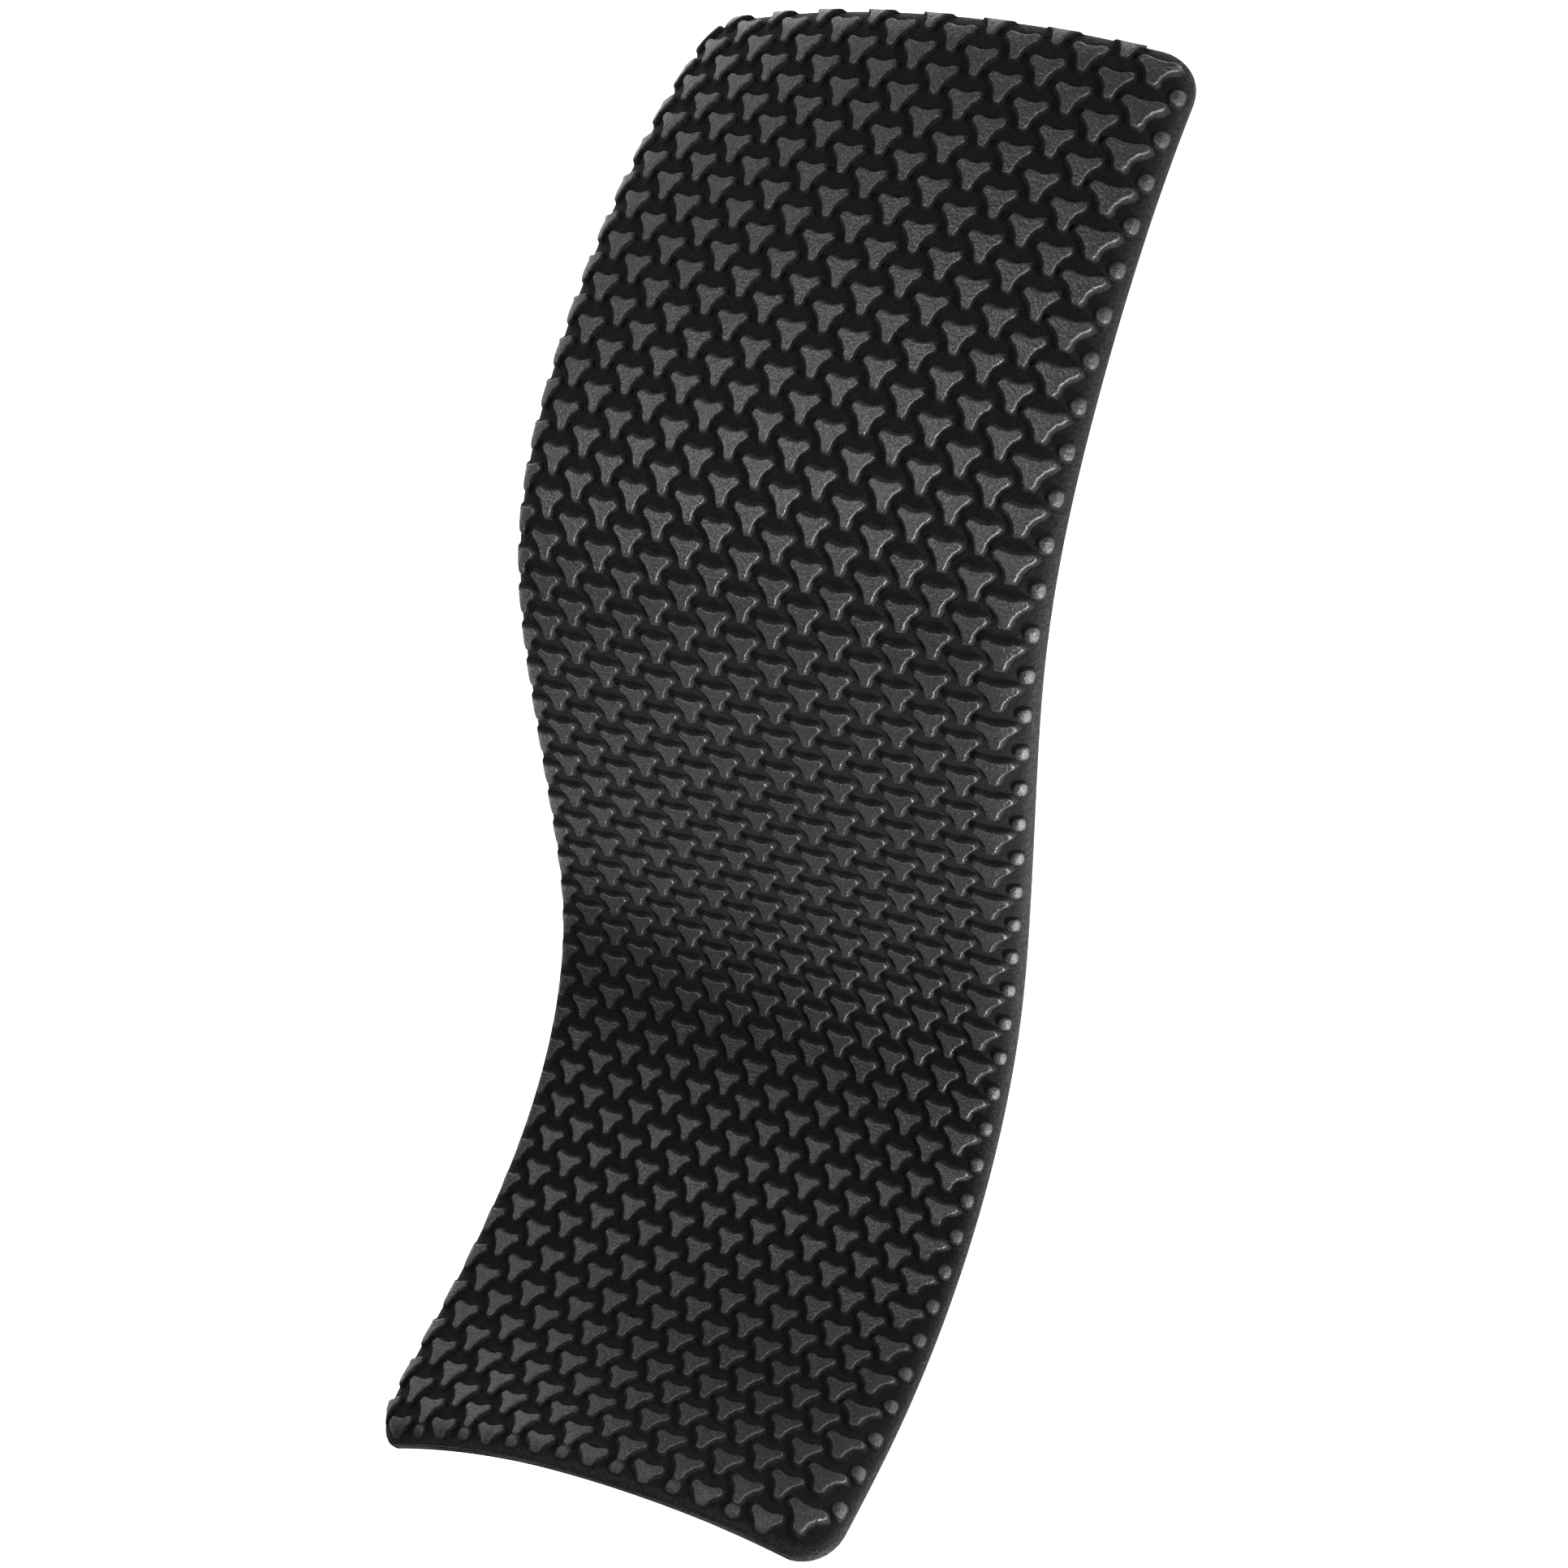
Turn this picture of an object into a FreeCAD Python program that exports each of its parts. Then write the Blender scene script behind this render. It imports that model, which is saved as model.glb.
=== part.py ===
import FreeCAD, Part
import math
import os

os.makedirs("parts", exist_ok=True)

# Wave-shaped balance pad: three bonded soft sheets moulded to one doubly curved wave.
# Frame: +Z up, the floor is Z = 0, the textured side faces up. X runs across the pad.
# The upper (hump) end lies towards +Y, the lower (dished) end towards -Y.
# The origin is the floor point straight below the centre of the pad's overall box.
# All sizes in mm and degrees.

# --- overall size of the flat blank ---
pad_length = 591.6          # end to end, measured along the wave
pad_width = 196.8           # across, measured over the crown
corner_radius = 15.0        # plan radius of the four corners

# --- thickness of the three sheets ---
tread_thickness = 2.2       # rubber sheet that carries the stars
core_thickness = 2.2        # foam in the middle
base_thickness = 1.2        # grip sheet on the underside

# --- the wave along the length, all distances measured from the upper end ---
lead_start = 9.3            # where the upper end begins to dip
lead_length = 142.5         # length of the gentle dip before the hump
lead_turn = 7.8             # angle turned over that length
hump_start = 151.8          # where the hump begins
hump_length = 76.8          # length of pad that bends over the hump
hump_turn = 40.2            # angle turned over the hump
valley_start = 340.3        # where the valley begins
valley_length = 218.3       # length of pad that bends through the valley
valley_turn = 110.8         # angle turned back through the valley
bend_ease = 12.0            # how gently each bend begins and ends

# --- rise of the middle line above the two long edges ---
crown_upper_end = 14.0
crown_first_quarter = 4.6
crown_middle = -1.5
crown_third_quarter = -9.3
crown_lower_end = 16.5

# --- sideways lean of the two ends against the middle ---
twist_upper_end = -10.5
twist_lower_end = -12.8
sway_upper_end = -10.0
sway_lower_end = -3.7

# --- how finely the surfaces are laid out ---
spine_steps = 600
rows_between_corners = 34
rows_in_corner = 6
points_across = 13


def ease(x):
    # smooth stand-in for max(x, 0)
    y = x / bend_ease
    if y > 40.0:
        return x
    return bend_ease * math.log1p(math.exp(y))


def ramp(s, start, length):
    return (ease(s - start) - ease(s - start - length)) / length


def turn_at(s):
    lead = lead_turn * ramp(s, lead_start, lead_length)
    hump = hump_turn * ramp(s, hump_start, hump_length)
    valley = valley_turn * ramp(s, valley_start, valley_length)
    return math.radians(lead + hump - valley)


def towards_end(s, upper, lower):
    # nothing at the middle of the pad, growing smoothly to the stated angle at either end
    q = (s - 0.5 * pad_length) / (0.5 * pad_length)
    return math.radians(upper if q < 0.0 else lower) * q * q


def sway_at(s):
    return towards_end(s, sway_upper_end, sway_lower_end)


def twist_at(s):
    return towards_end(s, twist_upper_end, twist_lower_end)


def crown_bend(s):
    # curvature across the pad at distance s, one smooth curve through the five stated rises
    rises = [crown_upper_end, crown_first_quarter, crown_middle, crown_third_quarter, crown_lower_end]
    q = 4.0 * s / pad_length
    rise = 0.0
    for i in range(5):
        weight = 1.0
        for j in range(5):
            if j != i:
                weight = weight * (q - j) / (i - j)
        rise = rise + rises[i] * weight
    return 8.0 * rise / pad_width ** 2


def lay_spine():
    # walk down the middle line from the upper end to the lower end
    step = pad_length / spine_steps
    x, y, z = 0.0, 0.0, 0.0
    spine = [(x, y, z)]
    for i in range(spine_steps):
        s = (i + 0.5) * step
        turn, sway = turn_at(s), sway_at(s)
        x = x + step * math.sin(sway)
        y = y - step * math.cos(turn) * math.cos(sway)
        z = z - step * math.sin(turn) * math.cos(sway)
        spine.append((x, y, z))
    return spine


SPINE = lay_spine()


def spine_at(s):
    q = min(max(s / pad_length, 0.0), 1.0) * spine_steps
    i = min(int(q), spine_steps - 1)
    f = q - i
    a, b = SPINE[i], SPINE[i + 1]
    return [a[k] + f * (b[k] - a[k]) for k in range(3)]


def surface_point(u, s):
    # the tread surface before the pad is set down: u across, s along
    x0, y0, z0 = spine_at(s)
    turn, sway = turn_at(s), sway_at(s)
    roll = twist_at(s)
    bend = crown_bend(s)
    if abs(bend) < 1e-7:
        bend = 1e-7
    run = math.sin(bend * u) / bend
    drop = (1.0 - math.cos(bend * u)) / bend
    across = math.cos(roll) * run - math.sin(roll) * drop
    down = math.sin(roll) * run + math.cos(roll) * drop
    x = x0 + across * math.cos(sway)
    y = y0 + math.sin(turn) * down + across * math.sin(sway) * math.cos(turn)
    z = z0 - math.cos(turn) * down + across * math.sin(sway) * math.sin(turn)
    return FreeCAD.Vector(x, y, z)


def layer_point(u, s, depth):
    # a point this deep below the tread surface, measured square to it
    d = 0.5
    s_lo, s_hi = max(s - d, 0.0), min(s + d, pad_length)
    along = surface_point(u, s_hi) - surface_point(u, s_lo)
    across = surface_point(u + d, s) - surface_point(u - d, s)
    normal = along.cross(across)
    normal.normalize()
    return surface_point(u, s) - normal * depth


def row_stations():
    # closer rows through the rounded corners, even rows between them
    r = corner_radius
    upper = [r * (1.0 - math.cos(0.5 * math.pi * i / rows_in_corner)) for i in range(rows_in_corner)]
    n = rows_between_corners
    middle = [r + (pad_length - 2.0 * r) * i / n for i in range(n + 1)]
    lower = [pad_length - s for s in reversed(upper)]
    return upper + middle + lower


def half_width(s):
    r = corner_radius
    e = min(s, pad_length - s)
    if e >= r:
        return 0.5 * pad_width
    return 0.5 * pad_width - r + math.sqrt(max(r * r - (r - e) ** 2, 0.0))


def layer_grid(depth):
    grid = []
    for s in row_stations():
        w = half_width(s)
        n = points_across - 1
        grid.append([layer_point(-w + 2.0 * w * i / n, s, depth) for i in range(n + 1)])
    return grid


def settle(points, middle):
    # find the roll and pitch at which the pad rests stably on a flat floor:
    # the lowest height of its middle above its own lowest point
    def height(roll, pitch):
        cr, sr, cp, sp = math.cos(roll), math.sin(roll), math.cos(pitch), math.sin(pitch)

        def level(p):
            return cp * (cr * p.z - sr * p.x) + sp * p.y
        return level(middle) - min(level(p) for p in points)
    roll, pitch, step = 0.0, 0.0, math.radians(8.0)
    best = height(roll, pitch)
    while step > 1e-7:
        tries = []
        for i in range(48):
            a = 2.0 * math.pi * i / 48
            r, p = roll + step * math.cos(a), pitch + step * math.sin(a)
            tries.append((height(r, p), r, p))
        low = min(tries)
        if low[0] < best - 1e-9:
            best, roll, pitch = low
        else:
            step = 0.5 * step
    return roll, pitch


def set_down(grids):
    # turn every grid to the resting attitude and put the lowest underside point on the floor
    underside = [p for row in grids[-1] for p in row]
    middle = sheet(grids[0], grids[-1]).CenterOfMass
    roll, pitch = settle(underside, middle)
    turn_roll = FreeCAD.Rotation(FreeCAD.Vector(0, 1, 0), math.degrees(roll))
    turn_pitch = FreeCAD.Rotation(FreeCAD.Vector(1, 0, 0), math.degrees(pitch))
    rotation = turn_pitch.multiply(turn_roll)
    turned = [rotation.multVec(p) for grid in grids for row in grid for p in row]
    shift = FreeCAD.Vector(0, 0, 0)
    shift.x = 0.5 * (min(p.x for p in turned) + max(p.x for p in turned))
    shift.y = 0.5 * (min(p.y for p in turned) + max(p.y for p in turned))
    shift.z = min(p.z for p in turned)
    print("rest roll %.5f deg, pitch %.5f deg" % (math.degrees(roll), math.degrees(pitch)))
    print("rest shift %.5f %.5f %.5f" % (shift.x, shift.y, shift.z))
    return [[[rotation.multVec(p) - shift for p in row] for row in grid] for grid in grids]


def skin(grid):
    surface = Part.BSplineSurface()
    surface.interpolate(grid)
    return surface


def sheet(upper, lower):
    # one closed solid between two skins with straight walls all round
    top, bottom = skin(upper), skin(lower)
    u0, u1, v0, v1 = top.bounds()
    a0, a1, b0, b1 = bottom.bounds()
    faces = [top.toShape(), bottom.toShape()]
    faces.append(Part.makeRuledSurface(top.uIso(u0).toShape(), bottom.uIso(a0).toShape()))
    faces.append(Part.makeRuledSurface(top.uIso(u1).toShape(), bottom.uIso(a1).toShape()))
    faces.append(Part.makeRuledSurface(top.vIso(v0).toShape(), bottom.vIso(b0).toShape()))
    faces.append(Part.makeRuledSurface(top.vIso(v1).toShape(), bottom.vIso(b1).toShape()))
    shell = Part.makeShell(faces)
    shell.sewShape()
    solid = Part.makeSolid(shell)
    if solid.Volume < 0:
        solid.reverse()
    return solid


def main():
    depths = [0.0]
    for thickness in (tread_thickness, core_thickness, base_thickness):
        depths.append(depths[-1] + thickness)
    grids = set_down([layer_grid(d) for d in depths])
    names = ("tread_sheet", "foam_core", "base_sheet")
    for i in range(3):
        solid = sheet(grids[i], grids[i + 1])
        print(names[i], solid.isValid(), solid.isClosed(), round(solid.Volume), solid.BoundBox)
        solid.exportStep("parts/" + names[i] + ".step")


main()
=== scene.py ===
import math
import bpy
import bmesh
import numpy as np
from mathutils import Euler, Matrix, Vector


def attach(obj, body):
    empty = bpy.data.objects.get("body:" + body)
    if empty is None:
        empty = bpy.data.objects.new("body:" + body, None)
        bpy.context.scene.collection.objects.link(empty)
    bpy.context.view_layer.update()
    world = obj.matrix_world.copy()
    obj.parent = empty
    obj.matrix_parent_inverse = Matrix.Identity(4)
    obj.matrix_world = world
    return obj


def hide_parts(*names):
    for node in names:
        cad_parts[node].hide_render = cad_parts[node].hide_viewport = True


# Balance pad: a tread with raised three-armed stars, a foam core and a grip base, pressed to one wave.
# Every sheet and star is first made flat by mesh operators, in mm: x across the pad, y down its length
# as a negative distance from the upper end, z height. lay() then moulds it to the wave, which is the
# same wave as in the part's source.

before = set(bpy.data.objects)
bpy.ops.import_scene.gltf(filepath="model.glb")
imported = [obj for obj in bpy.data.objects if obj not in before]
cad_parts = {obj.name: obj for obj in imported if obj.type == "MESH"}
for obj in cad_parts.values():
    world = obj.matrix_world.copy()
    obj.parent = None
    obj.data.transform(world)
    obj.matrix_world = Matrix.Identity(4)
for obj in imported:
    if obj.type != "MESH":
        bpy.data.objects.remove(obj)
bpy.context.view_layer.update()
MM = 0.001

# ---------------------------------------------------------------- sizes of the pad, mm and degrees
pad_length = 591.6
pad_width = 196.8
corner_radius = 15.0
tread_thickness = 2.2
core_thickness = 2.2
base_thickness = 1.2
lead_start, lead_length, lead_turn = 9.3, 142.5, 7.8
hump_start, hump_length, hump_turn = 151.8, 76.8, 40.2
valley_start, valley_length, valley_turn = 340.3, 218.3, 110.8
bend_ease = 12.0
crown_rises = (14.0, 4.6, -1.5, -9.3, 16.5)
twist_upper_end, twist_lower_end = -10.5, -12.8
sway_upper_end, sway_lower_end = -10.0, -3.7
rest_roll, rest_pitch = 4.07210, -21.15510
rest_shift = (-17.06764, -257.76167, -28.81141)

star_pitch = 15.0          # star to star along the pad
column_pitch = 11.29       # column to column across the pad
first_row = -13.2          # where the star lattice starts, from the upper end
lattice_rows = 42          # rows of stars in one column, enough to pass both ends
first_column, last_column = -9, 7
column_offset = 0.65       # the lattice sits this far off the middle line
star_reach = 0.338         # centre of an arm's round tip from the star's centre, in star pitches
star_tip = 0.077           # radius of that tip
star_hollow = 0.168        # from the star's centre to the hollow between two arms
star_flare = 1.35          # how far the foot of a star stands out from its top edge
edge_stretch = 1.22        # the last column is this much wider across the pad
relief = 2.2               # height of the stars
foot_depth = 0.5           # how far its foot is sunk into the tread
end_overhang = 2.0         # stars centred up to this far past an end are kept, and cut by the rim
stud_foot = 3.4            # foot radius of the small round studs along the right edge and the lower end
stud_sides = 14
stud_inset = 3.9           # how far their centres lie inside that edge
stud_clear = 4.0           # no stud of the long row is centred this close to an end
corner_clear = 3.0         # and none at all this close to the rounded outline
shoulder_width = 12.5      # the tread rolls down over this width at every edge
shoulder_drop = 4.3        # and by this much
wide_rim = 1.5             # no relief this close to the right and lower edges
narrow_rim = 0.5           # and this close to the other two
wide_fade = 2.6            # the relief sinks over this distance next to the wide rim
narrow_fade = 0.9          # and over this next to the narrow one
wide_from_side = 0.4       # the wide rim's side begins at this share of the width from the middle line
wide_from_end = 12.0       # and its end this far from the lower end
rim_softness = 0.6         # how gently a star that meets the rim is pushed back inside it
cap_ring = 0.35            # width of the flat ring inside the top edge of a star near the rim
cap_reach = 3.0            # such stars lie on the rolled edge or this close to it
tread_dip = 2.35           # the tread's underside dips by this much at the rim
core_dip = 0.45            # and the core's underside by this much
sheet_gap = 0.02           # clearance between bonded sheets
core_inset = 0.15          # the core stands this far back from the outline
row_crowding = 1.8         # how strongly a sheet's rows draw together towards its edges
# The channel sheet is painted dark as shade between the stars; near the outline, where no stars stand, that
# painted shade eases to a lighter grey.
rim_shade_ease = 3.6             # a sheet's colour lightens within this distance of the outline
rim_shade_ease_run = 2.6         # over this much


# ---------------------------------------------------------------- the wave
def ease(x):
    return bend_ease * np.logaddexp(0.0, x / bend_ease)


def ramp(s, start, length):
    return (ease(s - start) - ease(s - start - length)) / length


def turn_at(s):
    lead = lead_turn * ramp(s, lead_start, lead_length)
    hump = hump_turn * ramp(s, hump_start, hump_length)
    valley = valley_turn * ramp(s, valley_start, valley_length)
    return np.radians(lead + hump - valley)


def towards_end(s, upper, lower):
    q = (s - 0.5 * pad_length) / (0.5 * pad_length)
    return np.radians(np.where(q < 0.0, upper, lower)) * q * q


def crown_bend(s):
    q = 4.0 * s / pad_length
    rise = 0.0
    for i in range(5):
        weight = 1.0
        for j in range(5):
            if j != i:
                weight = weight * (q - j) / (i - j)
        rise = rise + crown_rises[i] * weight
    return 8.0 * rise / pad_width ** 2


spine_steps = 600
spine_step = pad_length / spine_steps
node_s = np.arange(spine_steps + 1) * spine_step
mid_s = (np.arange(spine_steps) + 0.5) * spine_step
mid_turn = turn_at(mid_s)
mid_sway = towards_end(mid_s, sway_upper_end, sway_lower_end)
spine_x = np.concatenate([[0.0], np.cumsum(spine_step * np.sin(mid_sway))])
spine_y = np.concatenate([[0.0], np.cumsum(-spine_step * np.cos(mid_turn) * np.cos(mid_sway))])
spine_z = np.concatenate([[0.0], np.cumsum(-spine_step * np.sin(mid_turn) * np.cos(mid_sway))])


def rest_turn():
    """The turn that sets the pad down at rest: roll first, then pitch."""
    cr, sr = math.cos(math.radians(rest_roll)), math.sin(math.radians(rest_roll))
    cp, sp = math.cos(math.radians(rest_pitch)), math.sin(math.radians(rest_pitch))
    roll = np.array([[cr, 0.0, sr], [0.0, 1.0, 0.0], [-sr, 0.0, cr]])
    pitch = np.array([[1.0, 0.0, 0.0], [0.0, cp, -sp], [0.0, sp, cp]])
    return pitch @ roll


REST = rest_turn()


def tread_floor(u, s):
    """The unrounded tread surface at rest: u across, s along from the upper end. (n, 3) in mm."""
    x0, y0, z0 = (np.interp(s, node_s, a) for a in (spine_x, spine_y, spine_z))
    turn = turn_at(s)
    sway = towards_end(s, sway_upper_end, sway_lower_end)
    roll = towards_end(s, twist_upper_end, twist_lower_end)
    bend = crown_bend(s)
    bend = np.where(np.abs(bend) < 1e-7, 1e-7, bend)
    run = np.sin(bend * u) / bend
    drop = (1.0 - np.cos(bend * u)) / bend
    across = np.cos(roll) * run - np.sin(roll) * drop
    down = np.sin(roll) * run + np.cos(roll) * drop
    x = x0 + across * np.cos(sway)
    y = y0 + np.sin(turn) * down + across * np.sin(sway) * np.cos(turn)
    z = z0 - np.cos(turn) * down + across * np.sin(sway) * np.sin(turn)
    return np.stack([x, y, z], 1) @ REST.T - np.array(rest_shift)


def normals(u, s):
    """Upward unit normals of the plain tread surface."""
    d = 0.25
    along = tread_floor(u, s + d) - tread_floor(u, s - d)
    across = tread_floor(u + d, s) - tread_floor(u - d, s)
    n = np.cross(along, across)
    return n / np.linalg.norm(n, axis=1)[:, None]


def edge_distance(u, s):
    """Distance in from the rounded outline of the flat blank."""
    r = corner_radius
    qx = np.abs(u) - (0.5 * pad_width - r)
    qy = np.abs(s - 0.5 * pad_length) - (0.5 * pad_length - r)
    outside = np.hypot(np.maximum(qx, 0.0), np.maximum(qy, 0.0))
    inside = np.minimum(np.maximum(qx, qy), 0.0)
    return r - outside - inside


def shoulder(u, s):
    """Height of the tread surface: level, then rolled down towards the outline."""
    q = np.clip(1.0 - edge_distance(u, s) / shoulder_width, 0.0, 0.9995)
    return -shoulder_drop * (1.0 - np.sqrt(1.0 - q ** 1.5))


def sunk(depth, drop):
    """A layer surface: this deep, dipping by drop towards the edge."""
    def height(u, s):
        q = np.clip(1.0 - edge_distance(u, s) / shoulder_width, 0.0, 1.0)
        return -depth - drop * q * q
    return height


def lay(u, s, h):
    """Points at height h square to the plain tread surface."""
    return tread_floor(u, s) + normals(u, s) * h[:, None]


# ---------------------------------------------------------------- flat blanks and the press
def crowded(g):
    """Rows even from -1 to 1, drawn together towards both ends."""
    return np.sign(g) * (1.0 - (1.0 - np.abs(g)) ** row_crowding)


def half_width(s, inset):
    """Half the width of the rounded outline at s, inset all round."""
    e = np.minimum(s, pad_length - s)
    across = (corner_radius - inset) ** 2 - (corner_radius - e) ** 2
    in_corner = 0.5 * pad_width - corner_radius + np.sqrt(np.maximum(across, 0.0))
    return np.where(e < corner_radius, in_corner, 0.5 * pad_width - inset)


def slab(columns, rows, wall_rows):
    """A plain closed slab of squares, 2 by 2 and 1 thick, with extra rows round its wall."""
    bm = bmesh.new()
    bmesh.ops.create_grid(bm, x_segments=columns, y_segments=rows, size=1.0)
    lifted = bmesh.ops.extrude_face_region(bm, geom=bm.faces[:], use_keep_orig=True)
    top = [v for v in lifted["geom"] if isinstance(v, bmesh.types.BMVert)]
    bmesh.ops.translate(bm, vec=(0.0, 0.0, 1.0), verts=top)
    wall = [e for e in bm.edges if abs(e.verts[0].co.z - e.verts[1].co.z) > 0.5]
    bmesh.ops.subdivide_edges(bm, edges=wall, cuts=wall_rows, use_grid_fill=True)
    bmesh.ops.recalc_face_normals(bm, faces=bm.faces[:])
    for f in bm.faces:
        f.smooth = True
    return bm


def outward(u, s):
    """Unit direction out of the flat outline."""
    d = 0.5
    gu = edge_distance(u - d, s) - edge_distance(u + d, s)
    gs = edge_distance(u, s - d) - edge_distance(u, s + d)
    size = np.maximum(np.hypot(gu, gs), 1e-6)
    return gu / size, gs / size


def settle_mesh(bm, name):
    """Turn a finished bmesh into a mesh of that name."""
    mesh = bpy.data.meshes.new(name)
    bm.to_mesh(mesh)
    bm.free()
    return mesh


def write_shade_and_gloss(mesh, values):
    """Store 0 for deep and dull up to 1 for raised and glossy, which the rubber reads; towards 0 the colour
    darkens as painted shade.
    """
    shade_and_gloss = mesh.attributes.new("shade_and_gloss", "FLOAT", "POINT")
    shade_and_gloss.data.foreach_set("value", values.astype(np.float32))


def read_points(mesh):
    points = np.empty(len(mesh.vertices) * 3)
    mesh.vertices.foreach_get("co", points)
    return points.reshape(-1, 3)


def write_points(mesh, points):
    mesh.vertices.foreach_set("co", (points * MM).ravel())
    mesh.update()


def press_slab(mesh, top, bottom, inset, bulge):
    """Mould a plain slab to the wave, between the two height functions."""
    points = read_points(mesh)
    s = 0.5 * pad_length - crowded(points[:, 1]) * (0.5 * pad_length - inset)
    u = crowded(points[:, 0]) * half_width(s, inset)
    level = points[:, 2]
    h = bottom(u, s) + (top(u, s) - bottom(u, s)) * level
    gu, gs = outward(u, s)
    swell = bulge * 4.0 * level * (1.0 - level)
    # lighter near the outline: the painted shade of the channel sheet eases where no stars shade it
    write_shade_and_gloss(mesh, np.clip((rim_shade_ease - edge_distance(u, s)) / rim_shade_ease_run, 0.0, 0.5))
    write_points(mesh, lay(u + gu * swell, s + gs * swell, h))


# ---------------------------------------------------------------- the stars
def turned(angle):
    """The same angle between minus and plus half a turn."""
    return (angle + math.pi) % (2.0 * math.pi) - math.pi


def star_outline():
    """Foot of a star, in mm: three arms with round tips and hollow sides, anticlockwise."""
    grow = star_flare / star_pitch
    tip = star_tip + grow
    spare = star_hollow - star_tip
    far = (star_reach ** 2 - spare ** 2) / (star_reach - 2.0 * spare)
    bow = far - star_hollow - grow
    points = []
    for arm in range(3):
        base = math.radians(30.0 + 120.0 * arm)
        cx, cy = star_reach * math.cos(base), star_reach * math.sin(base)
        side = base + math.radians(60.0)
        hx, hy = far * math.cos(side), far * math.sin(side)
        lean = turned(math.atan2(hy - cy, hx - cx) - base)
        for share in (-1.0, -0.4, 0.4, 1.0):
            a = base + lean * share
            points.append((cx + tip * math.cos(a), cy + tip * math.sin(a)))
        following = base + math.radians(120.0)
        nx, ny = star_reach * math.cos(following), star_reach * math.sin(following)
        first = math.atan2(cy - hy, cx - hx)
        span = turned(math.atan2(ny - hy, nx - hx) - first)
        for share in (0.3, 0.7):
            a = first + span * share
            points.append((hx + bow * math.cos(a), hy + bow * math.sin(a)))
    return [(x * star_pitch, y * star_pitch) for x, y in points]


def stud_outline():
    """Foot of a round stud, in mm."""
    angles = [2.0 * math.pi * k / stud_sides for k in range(stud_sides)]
    return [(stud_foot * math.cos(a), stud_foot * math.sin(a)) for a in angles]


# The tread uses one rubber twice: a lit copy for the star tops and a darker, duller copy painted as shade
# on the channel floor and the stars' walls.
SKIN, SHADE_SKIN = 0, 1       # material numbers of the tread
wall_steps = 2             # the first steps of a boss are its dull wall, the rest its glossy top edge


def raise_boss(outline, steps):
    """One closed boss: its foot outline, then steps inward and up to a flat top."""
    bm = bmesh.new()
    foot = bm.faces.new([bm.verts.new((x, y, 0.0)) for x, y in outline])
    foot.normal_update()
    raised = bmesh.ops.extrude_face_region(bm, geom=[foot], use_keep_orig=True)
    cap = [f for f in raised["geom"] if isinstance(f, bmesh.types.BMFace)][0]
    bmesh.ops.translate(bm, vec=(0.0, 0.0, foot_depth), verts=cap.verts[:])
    for i, (inward, rise) in enumerate(steps):
        # the foot and the wall made so far take the darker copy, painted shade; the cap and its top edge
        # keep the lit rubber
        if i == wall_steps:
            for f in bm.faces:
                f.material_index = SHADE_SKIN
            cap.material_index = SKIN
        bmesh.ops.inset_individual(bm, faces=[cap], thickness=inward, depth=rise, use_even_offset=True)
    bmesh.ops.recalc_face_normals(bm, faces=bm.faces[:])
    for f in bm.faces:
        f.smooth = f is not cap and f is not foot
    return settle_mesh(bm, "boss")


def column_place(column):
    """How far across the pad a column of the lattice stands."""
    return (column + 0.5) * column_pitch + column_offset


def star_places(columns):
    """Centres of the stars of some columns, (across, along) in mm: every other column is half a step on."""
    places = []
    for column in columns:
        for half_row in range(2 * lattice_rows):
            if (half_row + column) % 2 == 0:
                places.append((column_place(column), first_row + 0.5 * star_pitch * half_row))
    return [p for p in places if -end_overhang < p[1] < pad_length + end_overhang]


def stud_places():
    """The studs stand where the next stars would be, just inside the right edge and the lower end."""
    beside = [(0.5 * pad_width - stud_inset, first_row + star_pitch * k) for k in range(lattice_rows)]
    beside = [p for p in beside if stud_clear < p[1] < pad_length - stud_clear]
    half_step_columns = range(first_column + 2, last_column, 2)
    below = [(column_place(column), pad_length - stud_inset) for column in half_step_columns]
    return [p for p in beside + below if edge_distance(*p) > corner_clear]


def stamp(bm, boss, places, stretch=1.0):
    """Copies of one boss at every place, in flat (across, along, height) form."""
    points = read_points(boss)
    for u, s in places:
        boss.vertices.foreach_set("co", (points * (stretch, 1.0, 1.0) + (u, -s, 0.0)).ravel())
        bm.from_mesh(boss)
    boss.vertices.foreach_set("co", points.ravel())


def open_edge_caps(bm):
    """Near the rim a flat cap has to bend, so it is fanned from its middle and smoothed."""
    caps = []
    for f in bm.faces:
        c = f.calc_center_median()
        if not f.smooth and c.z > foot_depth and edge_distance(c.x, -c.y) < shoulder_width + cap_reach:
            caps.append(f)
    bmesh.ops.inset_individual(bm, faces=caps, thickness=cap_ring, depth=0.0, use_even_offset=True)
    for f in bmesh.ops.poke(bm, faces=caps)["faces"]:
        f.smooth = True


def press_relief(mesh):
    """Fit the flat relief inside the rim, sink it towards the rim, and lay it on the rolled tread."""
    points = read_points(mesh)
    u, s = points[:, 0], -points[:, 1]
    height = points[:, 2] - foot_depth
    wide = (u > wide_from_side * pad_width) | (s > pad_length - wide_from_end)
    rim = np.where(wide, wide_rim, narrow_rim)
    sink = np.where(wide, wide_fade, narrow_fade)
    for _ in range(2):
        d = edge_distance(u, s)
        kept = rim + rim_softness * np.logaddexp(0.0, (d - rim) / rim_softness)
        gu, gs = outward(u, s)
        u, s = u - gu * (kept - d), s - gs * (kept - d)
    d = edge_distance(u, s)
    fade = np.clip((d - rim) / sink, 0.0, 1.0) ** 0.5
    height = np.where(height > 0.0, height * fade, height)
    # lower points get a darker, duller finish: painted shade in the recesses between the stars
    write_shade_and_gloss(mesh, np.clip(height / relief, 0.0, 1.0))
    write_points(mesh, lay(u, s, height + shoulder(u, s)))


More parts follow.
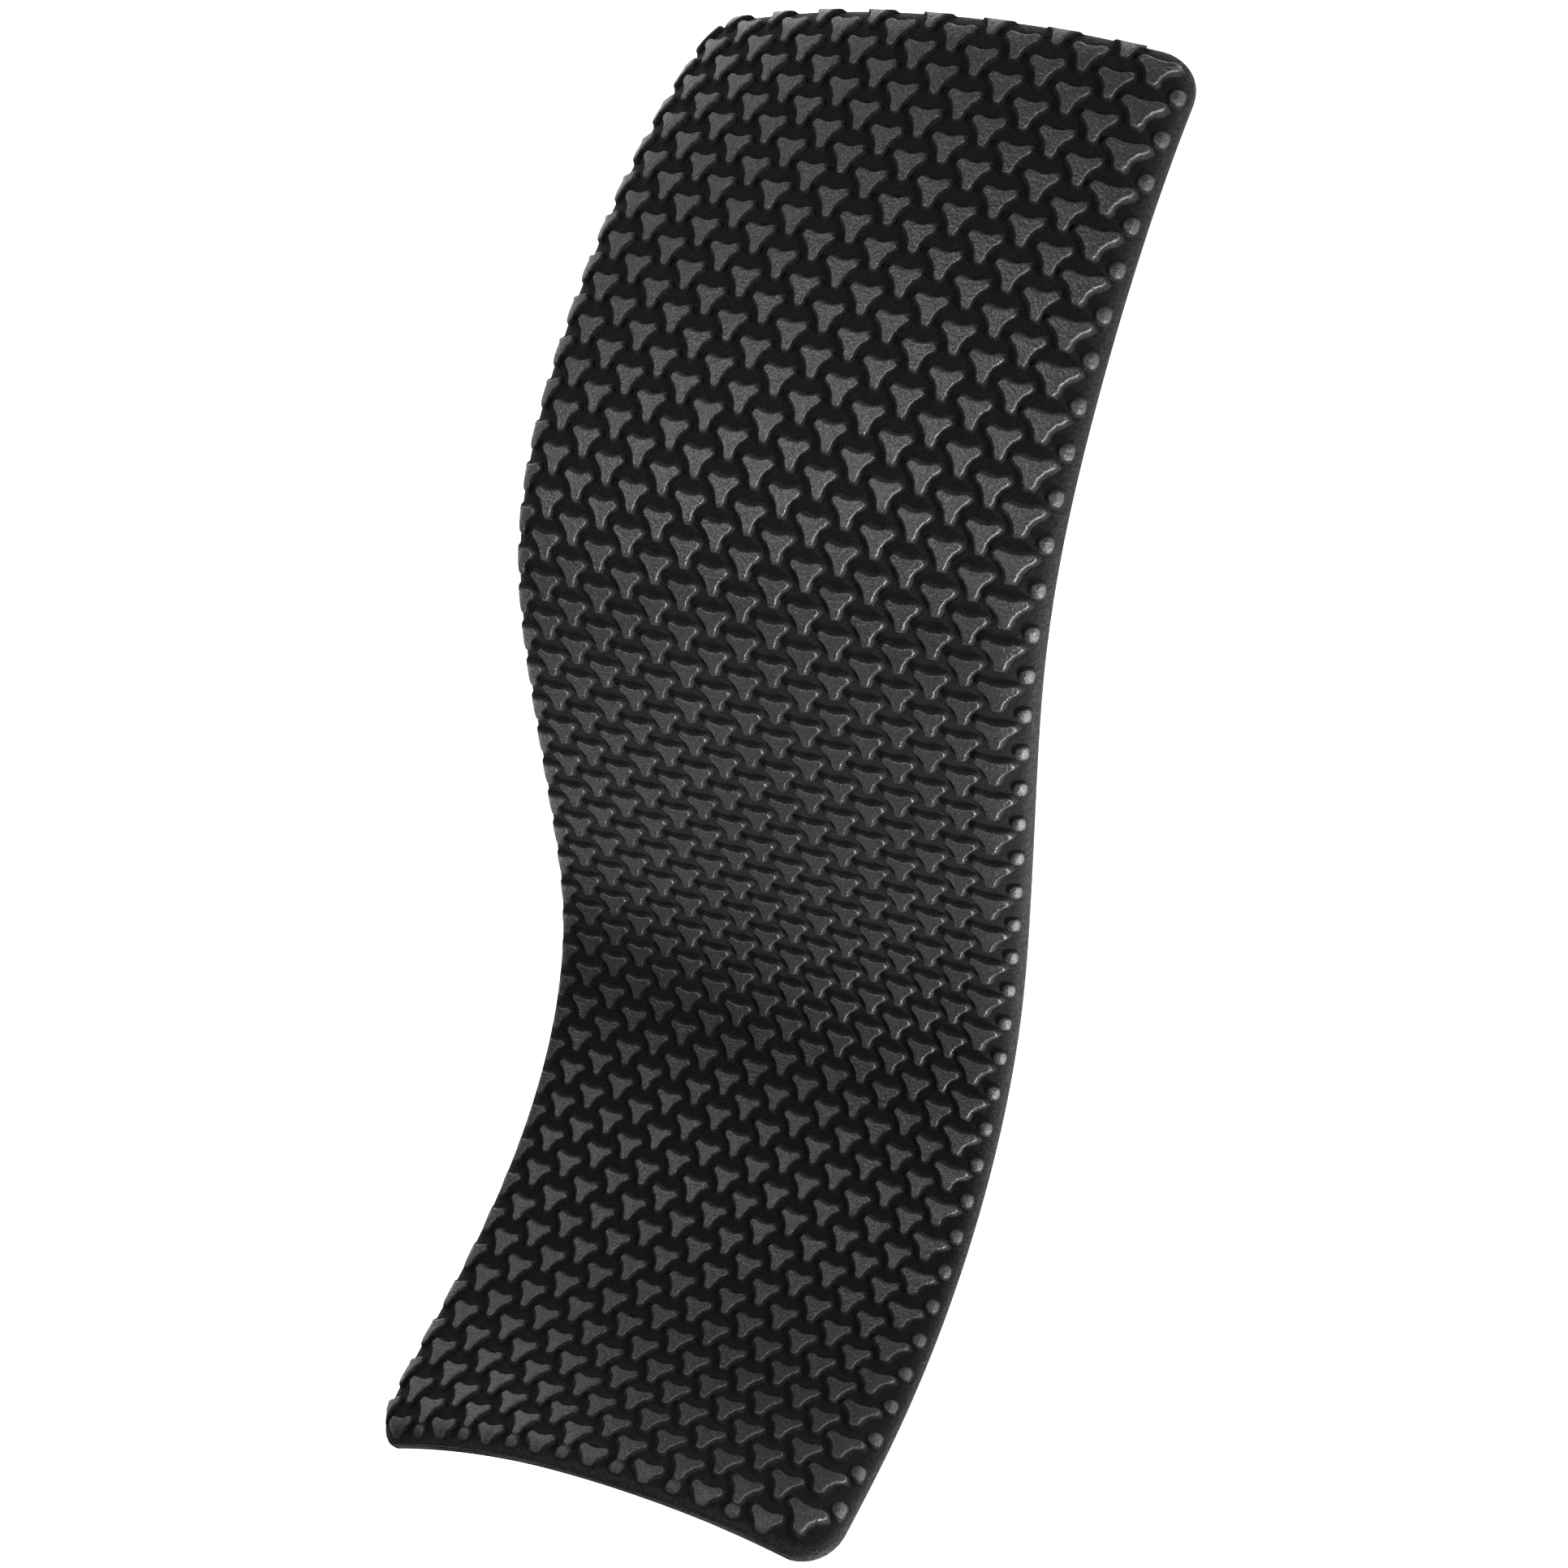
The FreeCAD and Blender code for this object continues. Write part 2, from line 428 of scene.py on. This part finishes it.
def piece(name, mesh, *materials):
    for material in materials:
        mesh.materials.append(material)
    obj = bpy.data.objects.new(name, mesh)
    bpy.context.scene.collection.objects.link(obj)
    return obj


# ---------------------------------------------------------------- finishes
def feed(tree, socket, value):
    """Link an output to a socket, or set a plain value on it."""
    if isinstance(value, bpy.types.NodeSocket):
        tree.links.new(value, socket)
    else:
        socket.default_value = value


def calculate(tree, operation, *values):
    node = tree.nodes.new("ShaderNodeMath")
    node.operation = operation
    for i, value in enumerate(values):
        feed(tree, node.inputs[i], value)
    return node.outputs["Value"]


def spread(tree, value, take, give):
    """Map the range take to the range give."""
    node = tree.nodes.new("ShaderNodeMapRange")
    feed(tree, node.inputs["Value"], value)
    for name, number in zip(("From Min", "From Max", "To Min", "To Max"), take + give):
        node.inputs[name].default_value = number
    return node.outputs["Result"]


def noise(tree, scale, detail, roughness):
    place = tree.nodes.new("ShaderNodeTexCoord")
    node = tree.nodes.new("ShaderNodeTexNoise")
    tree.links.new(place.outputs["Object"], node.inputs["Vector"])
    node.inputs["Scale"].default_value = scale
    node.inputs["Detail"].default_value = detail
    node.inputs["Roughness"].default_value = roughness
    return node.outputs["Fac"]


def rubber(name, low, high, rough, grain, grain_depth, gloss):
    """Moulded black rubber: fine grained, darker and duller where the attribute is 0 than where it is 1;
    the darkening is painted shade.
    """
    mat = bpy.data.materials.new(name)
    mat.use_nodes = True
    tree = mat.node_tree
    bsdf = tree.nodes["Principled BSDF"]
    shade_and_gloss_node = tree.nodes.new("ShaderNodeAttribute")
    shade_and_gloss_node.attribute_name = "shade_and_gloss"
    shade_and_gloss = shade_and_gloss_node.outputs["Fac"]
    patch = noise(tree, scale=28.0, detail=5.0, roughness=0.5)
    speck = noise(tree, scale=grain, detail=3.0, roughness=0.65)

    mix = tree.nodes.new("ShaderNodeMix")
    mix.data_type = "RGBA"
    mix.inputs["A"].default_value = (*low, 1.0)
    mix.inputs["B"].default_value = (*high, 1.0)
    tree.links.new(shade_and_gloss, mix.inputs["Factor"])
    shade = spread(tree, patch, (0.3, 0.7), (0.82, 1.16))
    fleck = spread(tree, speck, (0.35, 0.72), (0.4, 1.9))
    scale = tree.nodes.new("ShaderNodeVectorMath")
    scale.operation = "SCALE"
    tree.links.new(mix.outputs["Result"], scale.inputs[0])
    tree.links.new(calculate(tree, "MULTIPLY", shade, fleck), scale.inputs["Scale"])
    tree.links.new(scale.outputs["Vector"], bsdf.inputs["Base Color"])

    moulded = spread(tree, shade_and_gloss, (0.0, 1.0), rough)
    worn = calculate(tree, "MULTIPLY_ADD", patch, 0.18, moulded)
    pitted = calculate(tree, "MULTIPLY_ADD", speck, -0.6, worn)
    tree.links.new(calculate(tree, "ADD", pitted, 0.3), bsdf.inputs["Roughness"])
    bsdf.inputs["IOR"].default_value = 1.5
    bsdf.inputs["Specular IOR Level"].default_value = gloss
    bsdf.inputs["Sheen Weight"].default_value = 0.05
    bsdf.inputs["Sheen Roughness"].default_value = 0.5

    bump = tree.nodes.new("ShaderNodeBump")
    bump.inputs["Strength"].default_value = 0.75
    bump.inputs["Distance"].default_value = grain_depth
    tree.links.new(speck, bump.inputs["Height"])
    tree.links.new(bump.outputs["Normal"], bsdf.inputs["Normal"])
    return mat


def tread_skin():
    # low is the painted shade of sunk points, high the lit star tops
    low, high = (0.0025, 0.0025, 0.0027), (0.0135, 0.0135, 0.0142)
    return rubber("tread skin", low, high, rough=(0.62, 0.21), grain=900.0, grain_depth=0.0007, gloss=0.5)


def shaded_channel_skin():
    # a darker, duller copy of the tread rubber, painted shade for the channel floor and the stars' walls
    low, high = (0.0015, 0.0015, 0.0016), (0.012, 0.012, 0.0125)
    return rubber("shaded channel skin", low, high, rough=(0.7, 0.5), grain=900.0, grain_depth=0.0007, gloss=0.12)


def core_foam():
    grey = (0.020, 0.020, 0.021)
    even = (0.75, 0.75)
    return rubber("core foam skin", grey, grey, rough=even, grain=900.0, grain_depth=0.0002, gloss=0.3)


def grip_rubber():
    grey = (0.013, 0.013, 0.014)
    even = (0.55, 0.55)
    return rubber("base sheet skin", grey, grey, rough=even, grain=1100.0, grain_depth=0.00015, gloss=0.4)


# ---------------------------------------------------------------- the three sheets
core_top = tread_thickness
base_top = tread_thickness + core_thickness
base_floor = base_top + base_thickness


def star_relief():
    """All the stars and studs in one mesh, pressed to the wave. A step is (inward, up)."""
    star_steps = ((0.60, 0.75), (0.30, 0.98), (0.26, 0.30), (0.26, 0.17))
    stud_steps = ((0.40, 0.75), (0.40, 0.50), (0.70, 0.36), (0.80, 0.16))
    star = raise_boss(star_outline(), star_steps)
    stud = raise_boss(stud_outline(), stud_steps)
    bm = bmesh.new()
    stamp(bm, star, star_places(range(first_column, last_column)))
    stamp(bm, star, star_places([last_column]), edge_stretch)
    stamp(bm, stud, stud_places())
    open_edge_caps(bm)
    mesh = settle_mesh(bm, "relief")
    press_relief(mesh)
    return mesh


def tread_mesh():
    """The relief standing on its own closed sheet."""
    relief_mesh = star_relief()
    sheet = settle_mesh(slab(columns=56, rows=132, wall_rows=2), "tread sheet")
    press_slab(sheet, shoulder, sunk(core_top, tread_dip), inset=0.0, bulge=0.12)
    bm = bmesh.new()
    bm.from_mesh(relief_mesh)
    relief_faces = len(bm.faces)
    bm.from_mesh(sheet)
    bm.faces.ensure_lookup_table()
    # the whole sheet takes the darker copy of the rubber, painted shade of the channels
    for f in bm.faces[relief_faces:]:
        f.material_index = SHADE_SKIN
    return settle_mesh(bm, "tread_relief")


def core_mesh():
    mesh = settle_mesh(slab(columns=40, rows=96, wall_rows=1), "core_slab")
    top, bottom = sunk(core_top + sheet_gap, tread_dip), sunk(base_top, core_dip)
    press_slab(mesh, top, bottom, inset=core_inset, bulge=-0.1)
    return mesh


def base_mesh():
    mesh = settle_mesh(slab(columns=40, rows=96, wall_rows=2), "grip_base")
    top, bottom = sunk(base_top + sheet_gap, core_dip), sunk(base_floor, 0.0)
    press_slab(mesh, top, bottom, inset=0.0, bulge=0.1)
    return mesh


tread = piece("tread_relief", tread_mesh(), tread_skin(), shaded_channel_skin())
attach(tread, "root")
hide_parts("tread_sheet")

core = piece("core_slab", core_mesh(), core_foam())
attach(core, "root")
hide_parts("foam_core")

base = piece("grip_base", base_mesh(), grip_rubber())
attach(base, "root")
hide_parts("base_sheet")

# ---------------------------------------------------------------- studio
floor_size = 3.0
floor_drop = -0.0002       # just below the pad, so that the two don't cut each other


def pale_paper():
    paper = bpy.data.materials.new("pale paper")
    paper.use_nodes = True
    sheet_shader = paper.node_tree.nodes["Principled BSDF"]
    sheet_shader.inputs["Base Color"].default_value = (0.88, 0.88, 0.88, 1.0)
    sheet_shader.inputs["Roughness"].default_value = 0.9
    sheet_shader.inputs["Emission Color"].default_value = (1.0, 1.0, 1.0, 1.0)
    sheet_shader.inputs["Emission Strength"].default_value = 0.75
    return paper


bm = bmesh.new()
lowered = Matrix.Translation((0.0, 0.0, floor_drop))
bmesh.ops.create_grid(bm, x_segments=1, y_segments=1, size=floor_size, matrix=lowered)
floor = piece("studio floor", settle_mesh(bm, "studio floor"), pale_paper())

world = bpy.data.worlds.new("soft room")
world.use_nodes = True
world.node_tree.nodes["Background"].inputs["Color"].default_value = (1.0, 1.0, 1.0, 1.0)
world.node_tree.nodes["Background"].inputs["Strength"].default_value = 0.11
bpy.context.scene.world = world


def lamp(name, place, aim, width, height, power):
    data = bpy.data.lights.new(name, "AREA")
    data.shape = "RECTANGLE"
    data.size, data.size_y = width, height
    data.energy = power
    obj = bpy.data.objects.new(name, data)
    obj.location = place
    obj.rotation_euler = (Vector(aim) - Vector(place)).to_track_quat("-Z", "Y").to_euler()
    bpy.context.scene.collection.objects.link(obj)


lamp("key", (1.00, -0.80, 0.27), (0.0, 0.1, 0.10), 0.24, 0.30, 50.0)
lamp("side", (0.66, 0.06, 0.40), (0.0, 0.1, 0.10), 0.13, 0.16, 5.0)
lamp("left", (-0.85, 0.75, 0.35), (0.0, 0.15, 0.10), 0.30, 0.40, 0.5)
lamp("top", (-0.22, 0.24, 0.60), (0.0, 0.13, 0.10), 0.36, 0.20, 3.4)

camera_data = bpy.data.cameras.new("camera")
camera_data.sensor_width = 36.0
camera_data.lens = 35.4
camera_data.clip_start = 0.01
camera = bpy.data.objects.new("camera", camera_data)
camera.location = (0.23391, 0.12613, 0.53202)
camera.rotation_euler = Euler((-0.191548, 0.465372, 0.101568), "XYZ")
bpy.context.scene.collection.objects.link(camera)
bpy.context.scene.camera = camera
bpy.context.scene.view_settings.view_transform = "Standard"

bpy.context.view_layer.update()
